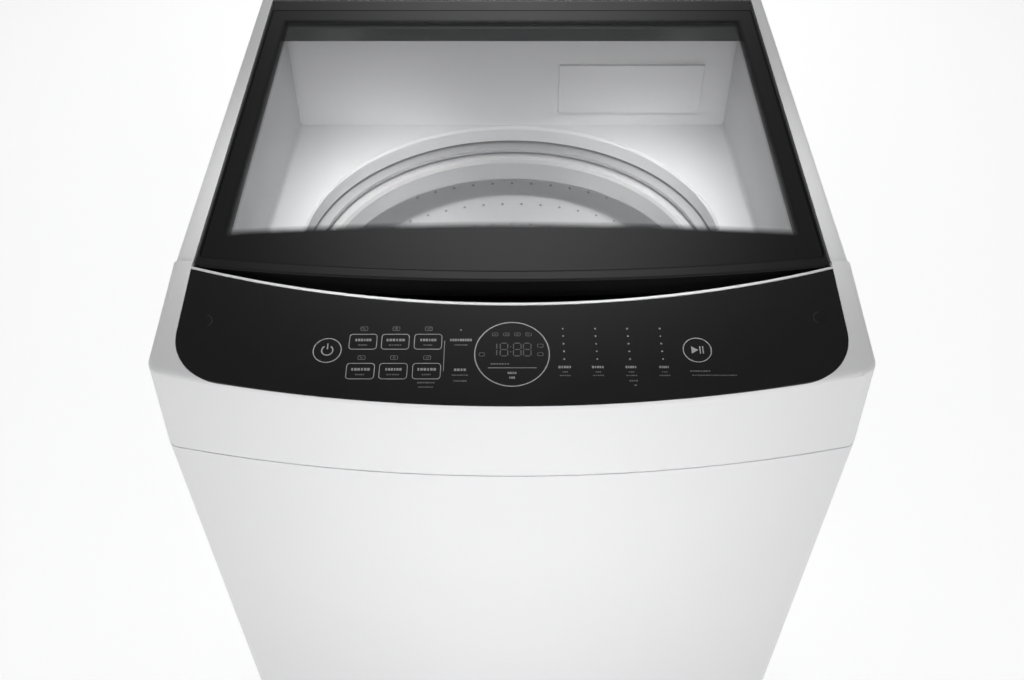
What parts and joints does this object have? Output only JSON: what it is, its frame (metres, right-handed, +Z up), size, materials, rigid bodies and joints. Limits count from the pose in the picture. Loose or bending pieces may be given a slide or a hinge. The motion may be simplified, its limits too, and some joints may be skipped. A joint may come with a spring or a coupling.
{
  "type": "top load washing machine",
  "caption": "Free-standing top load washing machine: white bowed cabinet, sloping black touch panel, hinged glass lid, hanging tub, spinning basket and pulsator.",
  "frame": {"origin": "on the floor, under the centre of the machine's bounding box", "axes": "+Z up, -Y to the front where the user stands, +X to the user's right"},
  "size_m": [0.59, 0.606, 0.96],
  "materials": {
    "cabinet_paint": "satin",
    "body_white": "gloss",
    "panel_black": "gloss",
    "trim_silver": "brushed",
    "recess_black": "matte",
    "lid_black": "gloss",
    "lid_glass": "clear with a dark printed border",
    "shroud_white": "satin",
    "base_grey": "matte",
    "tub_plastic": "satin",
    "basket_steel": "polished",
    "ring_grey": "satin",
    "pulsator_grey": "satin",
    "galvanised": "zinc plated",
    "steel": "machined",
    "cast_alloy": "as cast",
    "rubber": "matte",
    "motor_core": "laminated",
    "board_green": "matte",
    "tray_black": "matte",
    "foot_plastic": "matte",
    "filter_white": "satin"
  },
  "bodies": {
    "cabinet": {"cabinet_wrap": "cabinet_paint", "rear_panel": "galvanised", "base_frame": "base_grey", "base_guard": "base_grey", "rear_feet": "foot_plastic", "foot_lock_nuts": "galvanised", "side_grips": "body_white", "casing_screws": "steel", "cord_gland": "rubber", "drain_outlet": "tray_black", "front_cover": "body_white", "top_cover": "body_white", "inner_shroud": "shroud_white", "rear_housing": "shroud_white", "control_panel": "panel_black", "panel_trim": "trim_silver", "grip_recess": "recess_black", "control_tray": "tray_black", "display_board": "board_green", "power_board": "board_green", "lid_sensor": "tray_black", "pressure_sensor": "tray_black", "dispenser_housing": "shroud_white", "water_valve": "tray_black", "corner_brackets": "galvanised", "suspension_caps": "tray_black", "suspension_rods": "galvanised", "suspension_springs": "steel"},
    "lid": {"lid_frame": "lid_black", "lid_glass": "lid_glass", "hinge_pins": "steel", "lid_bumpers": "rubber", "lid_magnet": "steel"},
    "drawer": {"dispenser_drawer": "shroud_white", "siphon_cap": "ring_grey"},
    "tub": {"outer_tub": "tub_plastic", "tub_cover": "tub_plastic", "tub_seal": "rubber", "spring_cups": "tray_black", "mounting_plate": "galvanised", "plate_bolts": "steel", "bearing_housing": "cast_alloy", "bearings": "steel", "stator": "motor_core", "drain_valve": "tray_black", "drain_motor": "tray_black"},
    "basket": {"basket": "basket_steel", "balance_ring": "ring_grey", "basket_base": "ring_grey", "basket_flange": "cast_alloy", "lint_filters": "filter_white", "spin_shaft": "steel"},
    "pulsator": {"pulsator": "pulsator_grey", "shaft_fasteners": "steel", "wash_shaft": "steel", "rotor": "galvanised"},
    "clutch": {"clutch_coupler": "steel"},
    "drain_plunger": {"drain_plunger": "rubber"},
    "front_foot_left": {"front_foot_left": "foot_plastic"},
    "front_foot_right": {"front_foot_right": "foot_plastic"}
  },
  "joints": [
    {"name": "lid_hinge", "type": "hinge", "parent": "cabinet", "child": "lid", "pos_m": [0, 0.25, 0.94521], "axis": [-1, 0, 0], "range_deg": [0, 100]},
    {"name": "drawer_slide", "type": "slide", "parent": "cabinet", "child": "drawer", "axis": [0, -1, 0], "range_m": [0, 0.055]},
    {"name": "tub_suspension", "type": "slide", "parent": "cabinet", "child": "tub", "axis": [0, 0, 1], "range_m": [-0.03, 0.005], "stiffness_N_per_m": 9000, "springref_m": 0.03492, "deforming": ["suspension_springs"]},
    {"name": "basket_spin", "type": "hinge", "parent": "tub", "child": "basket", "pos_m": [0, 0, 0.359], "axis": [0, 0, 1], "continuous": true},
    {"name": "pulsator_spin", "type": "hinge", "parent": "tub", "child": "pulsator", "pos_m": [0, 0, 0.359], "axis": [0, 0, 1], "continuous": true},
    {"name": "clutch_shift", "type": "slide", "parent": "tub", "child": "clutch", "axis": [0, 0, 1], "range_m": [0, 0.005]},
    {"name": "drain_plunger_slide", "type": "slide", "parent": "tub", "child": "drain_plunger", "axis": [-1, 0, 0], "range_m": [0, 0.012], "stiffness_N_per_m": 600, "springref_m": -0.01},
    {"name": "front_foot_left_screw", "type": "slide", "parent": "cabinet", "child": "front_foot_left", "axis": [0, 0, -1], "range_m": [0, 0.012]},
    {"name": "front_foot_right_screw", "type": "slide", "parent": "cabinet", "child": "front_foot_right", "axis": [0, 0, -1], "range_m": [0, 0.012]}
  ]
}
